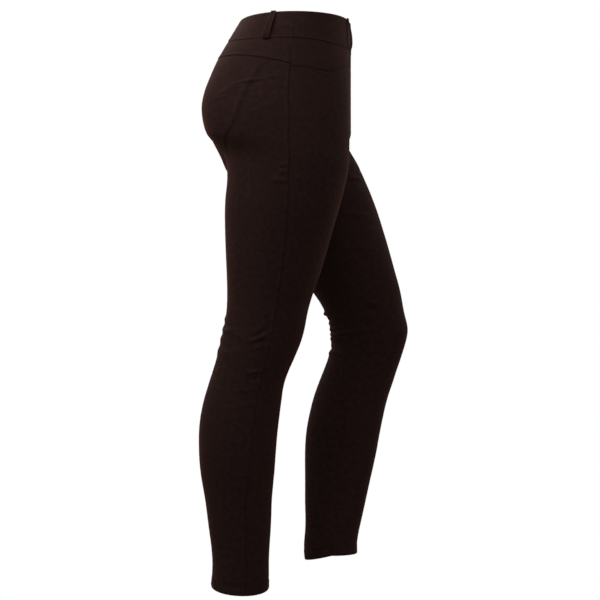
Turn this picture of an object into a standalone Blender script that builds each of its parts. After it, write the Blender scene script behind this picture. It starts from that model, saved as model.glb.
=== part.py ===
"""Pull-on skinny leggings, hollow and in the pose in which they are worn.

The wearer faces -Y, so the right leg is on the -X side. Z is up, and the origin is the
middle of the waist's top edge. Every panel is a wall of cloth cut out of one skin, and
that skin is a stack of rings: half of the trunk's section down to the crotch, and from
there on the whole section of a leg.
"""

import math

import bpy
import numpy as np

# ---------------------------------------------------------------- sizes, in metres
CLOTH = 0.0015               # one layer of stretch twill
BAND_CLOTH = 0.0024          # waistband, folded over a flat elastic
SEAM_GAP = 0.0003            # between two panels at a seam
HEM_TURN = 0.016             # depth of the turned hem
HEM_CLOTH = 0.0026           # wall there, two layers

CROTCH_DROP = 0.238          # from the waist's edge down to the crotch
CROTCH_Y = 0.012             # the crotch lies a little behind the waist's middle
FRONT_BEND = 0.172           # drop at which the front rise starts to curve under
BACK_BEND = 0.150            # drop at which the seat seam starts to curve under
THIGH_GAP = 0.003            # from the middle plane to a thigh, just below the crotch
ARCH_HEIGHT = 0.014          # of the small arch there
CROWN = 0.0034               # centre front stands this far in front of the sides
CLEFT = 0.0060               # centre back lies this far inside the fullest line

BAND_SIDE = 0.0412           # seam under the waistband, at the side seam
BAND_FRONT = 0.0488          # the same at centre front
BAND_BACK = 0.0350           # and at centre back
EDGE_DIP = 0.0020            # the top edge is this much lower at centre front and back
YOKE_SIDE = 0.0810           # yoke seam at the side seam
YOKE_BACK = 0.0652           # and over the seat

LOOP_WIDTH = 0.0095
LOOP_CLOTH = 0.0016
LOOP_RISE = 0.0003           # a loop stands this much above the band's edge
LOOP_SLACK = 0.0035          # room between a loop and the band
LOOP_SAG = 1.6               # more than 1: the room is largest near the foot

TWILL = (0.020, 0.010, 0.008)
TWILL_EDGE = (0.024, 0.013, 0.010)

# Columns of the panels' grids.
FRONT_COLUMNS = 2            # end of the scoop to centre front
BACK_SIDE_COLUMNS = 5        # side seam to the back panel seam
BACK_INNER_COLUMNS = 5       # from there to centre back or inseam
BAND_ROWS = 4
LOOP_ROWS = 9
# Rows, as drops at the side seam above the crotch, and along the leg below it: closer
# where the cloth turns, at the crotch and round the knees.
UPPER_ROWS = (BAND_SIDE, 0.0545, 0.0678, YOKE_SIDE)
SCOOP_ROW = 0.0873
TRUNK_ROWS = (SCOOP_ROW, 0.100, 0.115, 0.130, 0.145, 0.160, 0.174, 0.186, 0.197, 0.207,
              0.216, 0.224, 0.231, CROTCH_DROP)
LEVEL_ROW = 0.160            # rows are level from this drop on
LEG_ROWS = (0.0025, 0.007, 0.014, 0.024, 0.037, 0.052, 0.072, 0.094, 0.118, 0.143, 0.168,
            0.193, 0.215, 0.232, 0.244, 0.255, 0.266, 0.277, 0.288, 0.299, 0.310, 0.321,
            0.333, 0.348, 0.367, 0.389, 0.412, 0.436, 0.460, 0.485, 0.511, 0.538, 0.566,
            0.594, 0.622)


def table(names, *rows):
    """A short table as a dictionary of named columns."""
    return dict(zip(names.split(), np.array(rows, float).T))


# Sections of the trunk, the same on both sides: how far each hangs below the waist's
# edge, and the Y of its front and back.
TRUNK = table(
    "drop    front    back",
    (0.000, -0.0835, 0.0868),
    (0.030, -0.0840, 0.1035),
    (0.060, -0.0840, 0.1200),
    (0.090, -0.0840, 0.1330),
    (0.120, -0.0840, 0.1432),
    (0.145, -0.0840, 0.1470),
    (0.170, -0.0840, 0.1438),
)

# Sections of a side from the seat to the hem: drop and Y of the section's middle, its
# size from front to back, and how far its front is raised and its outer side lowered, in
# degrees. The right leg stands straight and a little back.
RIGHT = table(
    "drop    middle   depth    tilt  slant",
    (0.1920,  0.0254,  0.2183,  -1.0,   0.0),
    (0.2040,  0.0202,  0.2076,  -2.0,   0.0),
    (0.2210,  0.0140,  0.1950,  -3.0,   0.0),
    (0.2380,  0.0138,  0.1891,  -5.0,   0.0),
    (0.2620,  0.0161,  0.1826,  -6.5,   1.0),
    (0.2900,  0.0211,  0.1778,  -8.0,   2.0),
    (0.3450,  0.0298,  0.1630,  -8.5,   3.0),
    (0.3930,  0.0360,  0.1474,  -9.0,   3.0),
    (0.4420,  0.0435,  0.1301, -11.0,   3.0),
    (0.4800,  0.0486,  0.1245, -14.0,   3.0),
    (0.5170,  0.0592,  0.1175, -17.0,   3.0),
    (0.5550,  0.0715,  0.1130, -18.0,   3.5),
    (0.5800,  0.0779,  0.1156, -14.0,   3.8),
    (0.6050,  0.0837,  0.1200,  -9.0,   4.0),
    (0.6430,  0.0897,  0.1231,  -4.0,   4.5),
    (0.6810,  0.0915,  0.1206,  -1.0,   5.0),
    (0.7180,  0.0915,  0.1143,   0.0,   5.5),
    (0.7560,  0.0900,  0.1051,   1.0,   6.0),
    (0.7940,  0.0885,  0.0988,   1.0,   6.5),
    (0.8320,  0.0874,  0.0917,   0.0,   8.0),
    (0.8650,  0.0870,  0.0895,  -1.0,  10.0),
    (0.8940,  0.0882,  0.0914,  -2.5,  12.0),
)

# The left leg steps forward, with its knee bent.
LEFT = table(
    "drop     middle   depth    tilt  slant",
    (0.1920,  0.0225,  0.2138,   5.0,   0.0),
    (0.2040,  0.0185,  0.2074,   6.5,   0.0),
    (0.2210,  0.0104,  0.2038,   9.0,   0.0),
    (0.2380,  0.0013,  0.2030,  11.0,   0.0),
    (0.2620, -0.0143,  0.1921,  16.0,   1.0),
    (0.2860, -0.0290,  0.1839,  20.0,   2.0),
    (0.3360, -0.0570,  0.1669,  24.0,   3.0),
    (0.3810, -0.0797,  0.1505,  24.0,   3.0),
    (0.4255, -0.1014,  0.1328,  24.0,   3.0),
    (0.4590, -0.1126,  0.1266,  21.0,   3.0),
    (0.4850, -0.1180,  0.1242,  12.0,   3.0),
    (0.4980, -0.1202,  0.1262,   5.0,   3.0),
    (0.5110, -0.1186,  0.1228,  -3.0,   3.0),
    (0.5370, -0.1124,  0.1150, -15.0,   3.5),
    (0.5635, -0.1045,  0.1130, -19.0,   3.8),
    (0.5895, -0.0953,  0.1143, -19.0,   4.0),
    (0.6155, -0.0871,  0.1177, -16.0,   4.5),
    (0.6415, -0.0808,  0.1191, -12.0,   5.0),
    (0.6680, -0.0759,  0.1186,  -9.0,   5.5),
    (0.7065, -0.0709,  0.1135,  -7.0,   6.0),
    (0.7460, -0.0666,  0.1045,  -6.0,   6.5),
    (0.7845, -0.0623,  0.0959,  -6.0,   7.0),
    (0.8240, -0.0584,  0.0877,  -3.0,   7.5),
    (0.8500, -0.0562,  0.0868,   4.0,   8.0),
    (0.8630, -0.0570,  0.0858,   7.0,   8.0),
)

# Sizes across, by the way along the garment from the crotch (up is negative): X of a
# section's front and back, X of its outer side, how square its outer half is (2 is an
# oval), how far the side seam lies in front of the section's middle, and where the back
# panel seam lies, as a share of the way from the side seam to centre back or inseam.
GIRTH = table(
    "along   lobe    outer   square  seam    panel",
    (-0.238, 0.0120, 0.1420, 2.06, -0.0010, 0.165),
    (-0.208, 0.0260, 0.1500, 2.06,  0.0070, 0.165),
    (-0.178, 0.0440, 0.1570, 2.10,  0.0124, 0.165),
    (-0.148, 0.0590, 0.1630, 2.15,  0.0160, 0.190),
    (-0.118, 0.0700, 0.1680, 2.20,  0.0190, 0.245),
    (-0.093, 0.0750, 0.1715, 2.20,  0.0208, 0.280),
    (-0.068, 0.0780, 0.1730, 2.20,  0.0200, 0.320),
    (-0.034, 0.0820, 0.1733, 2.15,  0.0124, 0.420),
    (0.000,  0.0855, 0.1710, 2.10,  0.0074, 0.480),
    (0.053,  0.0850, 0.1665, 2.05,  0.0095, 0.510),
    (0.108,  0.0815, 0.1570, 2.05,  0.0140, 0.520),
    (0.157,  0.0795, 0.1490, 2.05,  0.0150, 0.520),
    (0.206,  0.0780, 0.1400, 2.05,  0.0145, 0.520),
    (0.245,  0.0775, 0.1355, 2.05,  0.0135, 0.520),
    (0.283,  0.0770, 0.1325, 2.05,  0.0160, 0.520),
    (0.323,  0.0760, 0.1285, 2.05,  0.0185, 0.520),
    (0.375,  0.0740, 0.1270, 2.05,  0.0215, 0.520),
    (0.413,  0.0720, 0.1260, 2.05,  0.0228, 0.520),
    (0.451,  0.0700, 0.1235, 2.05,  0.0210, 0.520),
    (0.488,  0.0680, 0.1185, 2.05,  0.0170, 0.520),
    (0.526,  0.0655, 0.1130, 2.05,  0.0120, 0.520),
    (0.564,  0.0630, 0.1080, 2.05,  0.0104, 0.520),
    (0.602,  0.0605, 0.1035, 2.05,  0.0095, 0.520),
    (0.660,  0.0570, 0.0990, 2.05,  0.0087, 0.520),
)

# The mock pocket line: its drop by the share of the way from the side seam to centre
# front, where it ends at the waistband. Its places are also the columns of the facing.
SCOOP = table(
    "share  drop",
    (0.00,  SCOOP_ROW),
    (0.12,  0.0882),
    (0.22,  0.0916),
    (0.31,  0.0925),
    (0.40,  0.0892),
    (0.50,  0.0828),
    (0.61,  0.0790),
    (0.70,  0.0745),
    (0.77,  0.0650),
    (0.80,  0.0540),
    (0.815, BAND_FRONT),
)

# Ridges of the largest folds, behind the knees: place along the leg and round it (1 is
# the inseam, 0 the side seam), half length and half width, and height.
FOLDS = table(
    "along   way    reach  width   height",
    (0.251,  0.62,  0.40,  0.0055, 0.0016),
    (0.268,  0.45,  0.38,  0.0060, 0.0022),
    (0.285,  0.66,  0.42,  0.0065, 0.0022),
    (0.305,  0.50,  0.36,  0.0070, 0.0016),
)

# Belt loops: where the head and the foot lie, as a share of the way from the side seam to
# centre front (negative) or centre back, and how far the foot lies below the band's seam.
LOOPS = table(
    "head     foot    below",
    (-0.700, -0.700, 0.0030),
    (0.176,   0.200, 0.0020),
)


# ---------------------------------------------------------------- curves
def spline(knots, values):
    """Natural cubic spline through one column of a table."""
    count = len(knots)
    step = np.diff(knots)
    slope = np.diff(values) / step
    system = np.eye(count)
    load = np.zeros(count)
    for i in range(1, count - 1):
        system[i, i - 1:i + 2] = step[i - 1], 2 * (step[i - 1] + step[i]), step[i]
        load[i] = 6 * (slope[i] - slope[i - 1])
    bend = np.linalg.solve(system, load)

    def value(at):
        i = int(np.clip(np.searchsorted(knots, at) - 1, 0, count - 2))
        before, after, h = at - knots[i], knots[i + 1] - at, step[i]
        cubic = (bend[i] * after ** 3 + bend[i + 1] * before ** 3) / (6 * h)
        return (cubic + (values[i] / h - bend[i] * h / 6) * after
                + (values[i + 1] / h - bend[i + 1] * h / 6) * before)

    return value


def ease(t):
    """From 0 to 1 with level ends."""
    t = min(max(t, 0.0), 1.0)
    return t * t * (3 - 2 * t)


def unit(v):
    return v / np.maximum(np.linalg.norm(v, axis=-1, keepdims=True), 1e-12)


# ---------------------------------------------------------------- the skin
RISE_LINE = {half: spline(TRUNK["drop"], TRUNK[half]) for half in ("front", "back")}


def rise(drop, half):
    """Point of the rise seam in the middle plane, and how far it has curved under."""
    bend = FRONT_BEND if half == "front" else BACK_BEND
    edge = RISE_LINE[half](min(drop, bend))
    edge -= CROWN if half == "front" else CLEFT * ease(drop / bend)
    closed = min(max((drop - bend) / (CROTCH_DROP - bend), 0.0), 1.0)
    turn = closed * math.pi / 2
    y = edge + (CROTCH_Y - edge) * (1 - math.cos(turn))
    height = -min(drop, bend) - (CROTCH_DROP - bend) * math.sin(turn)
    return np.array([0.0, y, height]), closed


class Side:
    """The skin of one side, as points in Y, Z and the distance out from the middle."""

    def __init__(self, sign, leg):
        self.sign = sign
        self.hem = leg["drop"][-1]
        drop = np.concatenate([TRUNK["drop"], leg["drop"]])
        self.middle = spline(drop, np.concatenate([(TRUNK["front"] + TRUNK["back"]) / 2, leg["middle"]]))
        self.depth = spline(drop, np.concatenate([TRUNK["back"] - TRUNK["front"], leg["depth"]]))
        self.tilt, self.slant = (spline(drop, np.concatenate([0 * TRUNK["drop"], leg[name]]))
                                 for name in ("tilt", "slant"))
        self.walk = np.linspace(0, self.hem, 500)
        across = [self.middle(d) for d in self.walk]
        run = np.concatenate([[0], np.cumsum(np.hypot(np.diff(self.walk), np.diff(across)))])
        run -= np.interp(CROTCH_DROP, self.walk, run)
        ends = np.where(run < 0, GIRTH["along"][0] / run[0], GIRTH["along"][-1] / run[-1])
        self.run = run * ends
        self.girth = {name: spline(GIRTH["along"], GIRTH[name]) for name in GIRTH}
        self.known = {}

    def along(self, drop):
        """Way down the garment from the crotch."""
        return float(np.interp(drop, self.walk, self.run))

    def drop_at(self, along):
        return float(np.interp(along, self.run, self.walk))

    def inner(self, drop, lobe, outer):
        """X of the inside of a leg, which closes to an arch at the crotch."""
        open_share = min((drop - CROTCH_DROP) / ARCH_HEIGHT, 1.0)
        return max(2 * lobe - outer, 0) + THIGH_GAP * math.sqrt(1 - (1 - open_share) ** 2)

    def ring(self, drop, points=40):
        """The two halves of a section, each from the side seam inwards, with lengths."""
        key = round(drop, 7)
        if key in self.known:
            return self.known[key]
        along = self.along(drop)
        lobe, outer, seam = (self.girth[name](along) for name in ("lobe", "outer", "seam"))
        middle, half = self.middle(drop), self.depth(drop) / 2
        tilt, lean = math.radians(self.tilt(drop)), math.tan(math.radians(self.slant(drop)))

        def place(x, y):
            return np.stack([x, middle + y * math.cos(tilt),
                             -drop - y * math.sin(tilt) - (x - lobe) * lean], axis=-1)

        turn = np.linspace(0, math.pi, 2 * points + 1)
        square = 2 / self.girth["square"](along)
        x = lobe + (outer - lobe) * np.abs(np.sin(turn)) ** square
        y = -half * np.sign(np.cos(turn)) * np.abs(np.cos(turn)) ** square
        outside = place(x, y)
        seam_y = -seam / math.cos(tilt)
        cut = int(np.searchsorted(y, seam_y))
        share = (seam_y - y[cut - 1]) / (y[cut] - y[cut - 1])
        on_seam = outside[cut - 1] * (1 - share) + outside[cut] * share
        halves = {}
        for name, run in (("front", outside[cut - 1::-1]), ("back", outside[cut:])):
            end, closed = self.inner_end(drop, name, along, lobe, outer, lean)
            inside = inward(run[-1], end, closed, points)
            path = np.concatenate([[on_seam], run, inside])
            path = path * (self.sign, 1, 1)
            length = np.concatenate([[0], np.cumsum(np.linalg.norm(np.diff(path, axis=0), axis=1))])
            halves[name] = path, length
        self.known[key] = halves
        return halves

    def inner_end(self, drop, half, along, lobe, outer, lean):
        """Where a section ends inside, and how far it has closed round the leg."""
        if drop <= CROTCH_DROP:
            point, closed = rise(drop, half)
            return point, closed ** 3
        inner = self.inner(drop, lobe, outer)
        settle = math.exp(-(drop - CROTCH_DROP) / 0.03)
        y = self.middle(drop) + (CROTCH_Y - self.middle(CROTCH_DROP)) * settle
        return np.array([inner, y, -drop + (lobe - inner) * lean]), 1.0

    def skin(self, drop, way):
        """Point on the skin: way is -1 at the front's inner edge, 0 at the side seam and
        1 at the back's inner edge."""
        path, length = self.ring(drop)["front" if way < 0 else "back"]
        at = abs(way) * length[-1]
        return np.array([np.interp(at, length, path[:, k]) for k in range(3)])

    def fold(self, drop, way):
        """How far the folds behind the knee raise the cloth."""
        if drop < CROTCH_DROP:
            return 0.0
        down = (self.along(drop) - FOLDS["along"]) / FOLDS["width"]
        round_leg = (way - FOLDS["way"]) / FOLDS["reach"]
        return float(np.sum(FOLDS["height"] * np.exp(-down ** 2) * np.maximum(1 - round_leg ** 2, 0) ** 2))

    def share(self, drop, way, distance):
        """The share of the way that a distance makes on one section."""
        return distance / self.ring(drop)["front" if way < 0 else "back"][1][-1]

    def outward(self, drop, way):
        """Direction out of the cloth."""
        reach = 0.003
        if abs(way) > 0.9999 and drop < CROTCH_DROP + 1e-6:
            half = "front" if way < 0 else "back"
            below, above = rise(min(drop + reach, CROTCH_DROP), half)[0], rise(drop - reach, half)[0]
            fall = below - above if drop < CROTCH_DROP - 1e-6 else np.array([0, 1.0 if way < 0 else -1.0, 0])
            out = np.array([0.0, fall[2], -fall[1]])
            return unit(out if way < 0 else -out)
        step = 0.02
        fore, aft = max(way - step, -1.0), min(way + step, 1.0)
        if abs(way) > 0.9999:
            fore, aft = 1 - step, step - 1
        around = self.skin(drop, aft) - self.skin(drop, fore)
        down = self.skin(min(drop + reach, self.hem), way) - self.skin(drop - reach, way)
        return self.sign * unit(np.cross(down, around))


def inward(start, end, closed, points):
    """From a section's front or back to its inner end: a level wave on the trunk, which
    turns into the quarter of an oval as the section closes round the leg."""
    t = np.linspace(0, 1, points + 1)[1:, None]
    turn = t * math.pi / 2
    wave = (1 - np.cos(math.pi * t)) / 2
    spread = start + (end - start) * np.concatenate([t, wave, wave], axis=1)
    level = 1 - np.cos(turn)
    wrap = start + (end - start) * np.concatenate([np.sin(turn), level, level], axis=1)
    return spread * (1 - closed) + wrap * closed


# ---------------------------------------------------------------- seam lines on the skin
def edge_line(way):
    """The waist's top edge."""
    return EDGE_DIP * ease(abs(way))


def band_line(way):
    """Seam under the waistband."""
    if way < 0:
        return BAND_SIDE + (BAND_FRONT - BAND_SIDE) * ease(-way / 0.55)
    return BAND_SIDE + (BAND_BACK - BAND_SIDE) * ease((way - 0.35) / 0.65)


def yoke_line(way):
    """Seam under the back yoke."""
    return YOKE_BACK + (YOKE_SIDE - YOKE_BACK) * max(1 - way / 0.45, 0.0) ** 1.7


SCOOP_CURVE = spline(SCOOP["share"], SCOOP["drop"])


def scoop_line(way):
    """Mock pocket line, from the side seam to where it meets the waistband."""
    return SCOOP_CURVE(abs(way))


def front_top(way):
    """Where the front starts: the scoop line, and beyond it the waistband."""
    return scoop_line(way) if abs(way) < SCOOP["share"][-1] - 1e-6 else band_line(way)


# ---------------------------------------------------------------- rows and columns
def front_ways(drop=0.0):
    """Columns of the front: those of the scoop on top, evenly spaced down the leg."""
    end = SCOOP["share"][-1]
    top = np.concatenate([SCOOP["share"], end + (1 - end) * np.arange(1, FRONT_COLUMNS + 1) / FRONT_COLUMNS])
    spread = ease((drop - LEVEL_ROW) / (CROTCH_DROP - LEVEL_ROW))
    return -(top * (1 - spread) + np.linspace(0, 1, len(top)) * spread)


def back_ways(panel_share):
    side = [panel_share * k / BACK_SIDE_COLUMNS for k in range(BACK_SIDE_COLUMNS + 1)]
    rest = 1 - panel_share
    return side + [panel_share + rest * k / BACK_INNER_COLUMNS for k in range(1, BACK_INNER_COLUMNS + 1)]


def side_rows(side):
    """Drops of the rows at the side seam, from the scoop line to the hem."""
    hem = GIRTH["along"][-1]
    leg = (*LEG_ROWS, hem - HEM_TURN - 0.001, hem - HEM_TURN, hem - HEM_TURN / 2)
    return [*TRUNK_ROWS, *(side.drop_at(a) for a in leg), side.hem]


def row_drops(rows, top_line, way):
    """Drops of all rows at one place around, fanning out from a slanting top line."""
    top = top_line(way)
    fan = [(row - rows[0]) / (LEVEL_ROW - rows[0]) for row in rows]
    return [top + (LEVEL_ROW - top) * f if row < LEVEL_ROW else row for row, f in zip(rows, fan)]


def panel_share(side, drop):
    return side.girth["panel"](side.along(drop))


# ---------------------------------------------------------------- solids
def material(name, color):
    made = bpy.data.materials.new(name)
    made.use_nodes = True
    shader = made.node_tree.nodes["Principled BSDF"]
    shader.inputs["Base Color"].default_value = (*color, 1)
    shader.inputs["Roughness"].default_value = 0.85
    shader.inputs["Metallic"].default_value = 0.0
    return made


def volume(points, faces):
    total = 0.0
    for face in faces:
        for b, c in zip(face[1:-1], face[2:]):
            total += np.dot(points[face[0]], np.cross(points[b], points[c]))
    return total / 6


def add_wall(name, outer, inner, color):
    """A closed wall between an outer and an inner grid of points."""
    rows, cols, _ = outer.shape
    points = np.concatenate([outer.reshape(-1, 3), inner.reshape(-1, 3)])

    def at(r, c, layer=0):
        return (layer * rows + r) * cols + c

    faces = []
    for r in range(rows - 1):
        for c in range(cols - 1):
            faces.append((at(r, c), at(r, c + 1), at(r + 1, c + 1), at(r + 1, c)))
            faces.append((at(r, c, 1), at(r + 1, c, 1), at(r + 1, c + 1, 1), at(r, c + 1, 1)))
    rim = [(0, c) for c in range(cols - 1)] + [(r, cols - 1) for r in range(rows - 1)]
    rim += [(rows - 1, c) for c in range(cols - 1, 0, -1)] + [(r, 0) for r in range(rows - 1, 0, -1)]
    for a, b in zip(rim, rim[1:] + rim[:1]):
        # The diagonal runs the same way on both sides of a seam.
        if a < b:
            faces += [(at(*a), at(*a, 1), at(*b, 1)), (at(*a), at(*b, 1), at(*b))]
        else:
            faces += [(at(*a), at(*a, 1), at(*b)), (at(*a, 1), at(*b, 1), at(*b))]
    if volume(points, faces) < 0:
        faces = [face[::-1] for face in faces]
    mesh = bpy.data.meshes.new(name)
    mesh.from_pydata([tuple(p) for p in points], [], faces)
    mesh.shade_smooth()
    mesh.set_sharp_from_angle(angle=math.radians(40))
    mesh.materials.append(material(name + "_cloth", color))
    made = bpy.data.objects.new(name, mesh)
    bpy.context.scene.collection.objects.link(made)
    return made


def seam_inset(outer, out):
    """Moves of the border points that leave half of the seam gap free all round."""
    move = np.zeros_like(outer)
    rows, cols, _ = outer.shape
    sides = (((0, slice(None)), (1, slice(None))), ((rows - 1, slice(None)), (rows - 2, slice(None))),
             ((slice(None), 0), (slice(None), 1)), ((slice(None), cols - 1), (slice(None), cols - 2)))
    for border, beside in sides:
        line, direction = outer[border], np.gradient(outer[border], axis=0)
        step = unit(np.cross(out[border], direction))
        into = np.sign(np.sum(step * (outer[beside] - line)))
        move[border] += step * into * SEAM_GAP / 2
    return move


def cut_panel(name, side, drops, ways, color=TWILL, cloth=CLOTH, thick_rows=0):
    """One panel: its grid of drops and ways on a side, as a wall of cloth."""
    outer = np.array([[side.skin(d, w) for d, w in zip(*row)] for row in zip(drops, ways)])
    out = np.array([[side.outward(d, w) for d, w in zip(*row)] for row in zip(drops, ways)])
    lift = np.array([[side.fold(d, w) for d, w in zip(*row)] for row in zip(drops, ways)])
    outer += out * lift[..., None]
    move = seam_inset(outer, out)
    at_crotch = (np.abs(np.abs(ways) - 1) < 1e-6) & (np.abs(drops - CROTCH_DROP) < 1e-6)
    move[at_crotch] = np.stack([0 * ways, np.sign(ways) * SEAM_GAP / 2, 0 * ways], axis=-1)[at_crotch]
    wall = np.full(drops.shape, cloth)
    if thick_rows:
        wall[-thick_rows:] = HEM_CLOTH
    layers = []
    for grid in (outer + move, outer - out * wall[..., None] + move):
        grid[..., 0] = side.sign * np.maximum(side.sign * grid[..., 0], SEAM_GAP / 2)
        layers.append(grid)
    return add_wall(name, *layers, color)


def between(ways, top_line, low_line, rows):
    """Drops for a grid that lies between two seam lines."""
    top = np.array([top_line(w) for w in ways])
    low = np.array([low_line(w) for w in ways])
    share = np.asarray(rows)[:, None]
    return top * (1 - share) + low * share


def make_band(name, sides, half_ways):
    """The waistband from one side seam round to the other, in front or at the back."""
    grids, normals = [], []
    for side, ways in zip(sides, half_ways):
        drops = between(ways, edge_line, band_line, np.linspace(0, 1, BAND_ROWS))
        grids.append(np.array([[side.skin(d, w) for d, w in zip(row, ways)] for row in drops]))
        normals.append(np.array([[side.outward(d, w) for d, w in zip(row, ways)] for row in drops]))
    outer = np.concatenate([grids[0], grids[1][:, -2::-1]], axis=1)
    out = np.concatenate([normals[0], normals[1][:, -2::-1]], axis=1)
    move = seam_inset(outer, out)
    return add_wall(name, outer + move, outer - out * BAND_CLOTH + move, TWILL_EDGE)


def upper_shares(rows):
    """Places of rows between two seam lines, from their drops at the side seam."""
    return [(row - rows[0]) / (rows[-1] - rows[0]) for row in rows]


def make_front(side, label):
    """Pocket facing above the scoop line and the front below it."""
    shares = np.array(upper_shares([*UPPER_ROWS, SCOOP_ROW]))
    facing = np.tile(-SCOOP["share"][:-1], (len(shares), 1))
    facing[:, -1] -= (SCOOP["share"][-1] - SCOOP["share"][-2]) * (1 - shares)
    drops = between(facing[0], band_line, scoop_line, shares)
    drops[:, -1] = band_line(facing[0, -1]) * (1 - shares) + scoop_line(facing[-1, -1]) * shares
    cut_panel("pocket_facing_" + label, side, drops, facing, TWILL_EDGE)
    rows = side_rows(side)
    ways = np.array([front_ways(row) for row in rows])
    drops = np.array([[row_drops(rows, front_top, way)[r] for way in ways[r]] for r in range(len(rows))])
    cut_panel("front_" + label, side, drops, ways, thick_rows=3)


def make_back(side, label):
    """Yoke, and below it the two back panels that meet at the back panel seam."""
    top_share = panel_share(side, yoke_line(0.3))
    for _ in range(4):
        top_share = panel_share(side, yoke_line(top_share))
    ways = np.array(back_ways(top_share))
    drops = between(ways, band_line, yoke_line, upper_shares(UPPER_ROWS))
    cut_panel("yoke_" + label, side, drops, np.broadcast_to(ways, drops.shape), TWILL_EDGE)
    rows = [YOKE_SIDE] + side_rows(side)
    grid_drops, grid_ways = [], []
    for r in range(len(rows)):
        share = top_share
        for _ in range(4):
            share = panel_share(side, row_drops(rows, yoke_line, share)[r])
        share = top_share if r == 0 else share
        row_ways = back_ways(share)
        grid_ways.append(row_ways)
        grid_drops.append([row_drops(rows, yoke_line, way)[r] for way in row_ways])
    drops, ways = np.array(grid_drops), np.array(grid_ways)
    seam = BACK_SIDE_COLUMNS
    cut_panel("back_side_" + label, side, drops[:, :seam + 1], ways[:, :seam + 1], thick_rows=3)
    cut_panel("back_inner_" + label, side, drops[:, seam:], ways[:, seam:], thick_rows=3)
    return top_share


def make_loop(name, side, head, foot, below):
    """A belt loop: a strip whose ends lie on the band, bowed out between them."""
    half = side.share(0.02, head, LOOP_WIDTH / 2)
    top, low = edge_line(head) - LOOP_RISE, band_line(foot) + below
    inner, outer = [], []
    for share in np.linspace(0, 1, LOOP_ROWS):
        drop, way = top + (low - top) * share, head + (foot - head) * share
        ways = (way - half, way, way + half)
        bow = SEAM_GAP + LOOP_SLACK * (1 - abs(2 * share ** LOOP_SAG - 1) ** 2.5)
        inner.append([side.skin(drop, w) + side.outward(drop, w) * bow for w in ways])
        outer.append([side.skin(drop, w) + side.outward(drop, w) * (bow + LOOP_CLOTH) for w in ways])
    add_wall(name, np.array(outer), np.array(inner), TWILL_EDGE)


def main():
    for old in list(bpy.data.objects):
        bpy.data.objects.remove(old)
    right, left = Side(-1, RIGHT), Side(1, LEFT)
    shares = []
    for side, label in ((right, "right"), (left, "left")):
        make_front(side, label)
        shares.append(make_back(side, label))
        for place, head, foot, below in zip(("front", "back"), LOOPS["head"], LOOPS["foot"], LOOPS["below"]):
            make_loop(f"belt_loop_{place}_{label}", side, head, foot, below)
    make_band("waistband_front", (right, left), (front_ways(), front_ways()))
    make_band("waistband_back", (right, left), [back_ways(share) for share in shares])


main()
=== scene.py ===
# %% [markdown]
# # Pull-on skinny leggings, step by step
# The real garment is stretch twill: a wide elastic waistband, shaped back yokes, mock scoop
# pockets, back panels and four belt loops, shown as worn, with one leg forward. The solids
# that carry its size and weight come from the CAD model. Here each solid gets a thin cloth
# shell on the same form, with its folds, seams, stitches and weave. Everything is in metres,
# the front faces -Y, and the origin is the middle of the waist's top edge.

# %% The frame
import math
import bpy
import numpy as np
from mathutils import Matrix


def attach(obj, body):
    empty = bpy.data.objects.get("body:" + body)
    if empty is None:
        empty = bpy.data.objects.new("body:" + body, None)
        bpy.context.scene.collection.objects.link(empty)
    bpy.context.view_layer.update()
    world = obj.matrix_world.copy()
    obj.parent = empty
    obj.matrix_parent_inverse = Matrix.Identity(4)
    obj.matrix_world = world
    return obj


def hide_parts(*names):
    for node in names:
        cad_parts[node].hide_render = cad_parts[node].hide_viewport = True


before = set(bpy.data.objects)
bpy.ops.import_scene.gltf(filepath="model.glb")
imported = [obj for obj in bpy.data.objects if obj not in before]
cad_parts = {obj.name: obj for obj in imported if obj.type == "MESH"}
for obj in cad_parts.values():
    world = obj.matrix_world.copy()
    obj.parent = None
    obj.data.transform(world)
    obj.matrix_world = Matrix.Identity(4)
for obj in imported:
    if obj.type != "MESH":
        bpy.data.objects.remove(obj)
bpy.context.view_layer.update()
print("CAD nodes:", len(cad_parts))

# %% [markdown]
# ## Camera
# A long lens far away keeps the two legs in their true proportion, so a lens of 120 mm on a
# 36 mm sensor is used, level with the knees' upper half and a little pitched down. It looks
# at the right side of the garment.

# %% Camera
LENS, SENSOR = 120.0, 36.0
CAMERA_PLACE = (-3.2, -0.0064, -0.380)
CAMERA_FALL = 0.020  # for each metre of view
CAMERA_PITCH = math.atan(CAMERA_FALL)


def add_object(name, data):
    """A new object of some data, put in the scene."""
    made = bpy.data.objects.new(name, data)
    bpy.context.scene.collection.objects.link(made)
    return made


camera_data = bpy.data.cameras.new("camera")
camera_data.lens, camera_data.sensor_width = LENS, SENSOR
camera = add_object("camera", camera_data)
camera.location = CAMERA_PLACE
camera.rotation_euler = (math.pi / 2 - CAMERA_PITCH, 0, -math.pi / 2)
bpy.context.scene.camera = camera
print("camera pitched down by", round(math.degrees(CAMERA_PITCH), 2), "degrees")

# %% [markdown]
# ## Colours and nodes
# Colours are written as they look on a screen, in hex, and turned to linear light by one
# function. One more small function adds a node with its settings and links and gives back
# its output, so that each material below reads as a short list.


# %% Helpers for materials
def linear(hex_colour):
    """A screen colour such as 8A6F5C as linear red, green, blue and alpha."""
    channels = [int(hex_colour[i:i + 2], 16) / 255 for i in (0, 2, 4)]
    return (*(c / 12.92 if c <= 0.04045 else ((c + 0.055) / 1.055) ** 2.4 for c in channels), 1.0)


def add_node(tree, kind, inputs, give=0, **settings):
    """Add a node and give back its first output, or the one that give says by name or by
    place. An input is a number, a colour or another node's output."""
    made = tree.nodes.new(kind)
    for name, value in settings.items():
        setattr(made, name, value)
    for name, value in inputs.items():
        if isinstance(value, bpy.types.NodeSocket):
            tree.links.new(value, made.inputs[name])
        else:
            made.inputs[name].default_value = value
    return made.outputs[give] if made.outputs else None


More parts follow.
